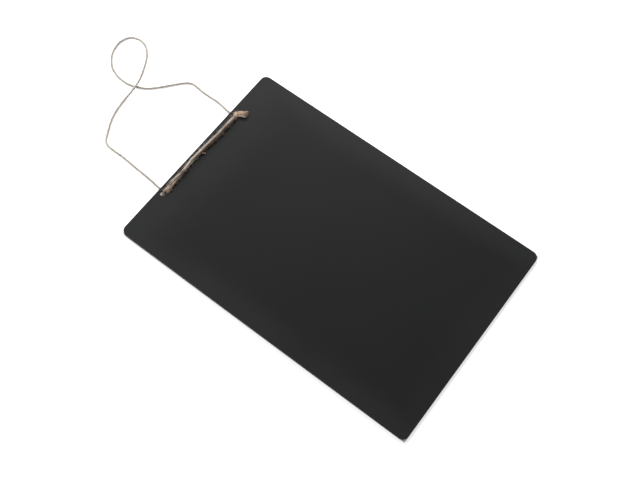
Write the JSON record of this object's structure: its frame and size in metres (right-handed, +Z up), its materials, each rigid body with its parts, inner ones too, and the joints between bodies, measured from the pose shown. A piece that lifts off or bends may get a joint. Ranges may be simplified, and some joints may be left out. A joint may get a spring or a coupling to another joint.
{
  "type": "wall chalkboard",
  "caption": "Small frameless hanging chalkboard: a thin black panel with rounded corners, on a jute twine loop whose ends come through holes near its top edge.",
  "frame": {"origin": "on the table under the middle of the board, which lies on its back as in the picture", "axes": "+X to the right of the writing face, +Y towards the hanging edge, +Z up, out of the writing face; the board leans 0.44 degree because the twine passes under its top edge"},
  "size_m": [0.2, 0.4352, 0.0105],
  "materials": {
    "blackboard_lacquer": "matte black blackboard lacquer on thin fibreboard",
    "jute_twine": "natural undyed jute, hairy, matte"
  },
  "bodies": {
    "board": {"board_panel": "blackboard_lacquer", "left_twine_end": "jute_twine", "right_twine_end": "jute_twine"},
    "loop": {"hanging_loop": "jute_twine"}
  },
  "joints": [
    {"name": "loop_swing", "type": "hinge", "parent": "board", "child": "loop", "pos_m": [0, 0.15129, 0.001], "axis": [1, 0, 0], "range_deg": [0, 90]}
  ]
}
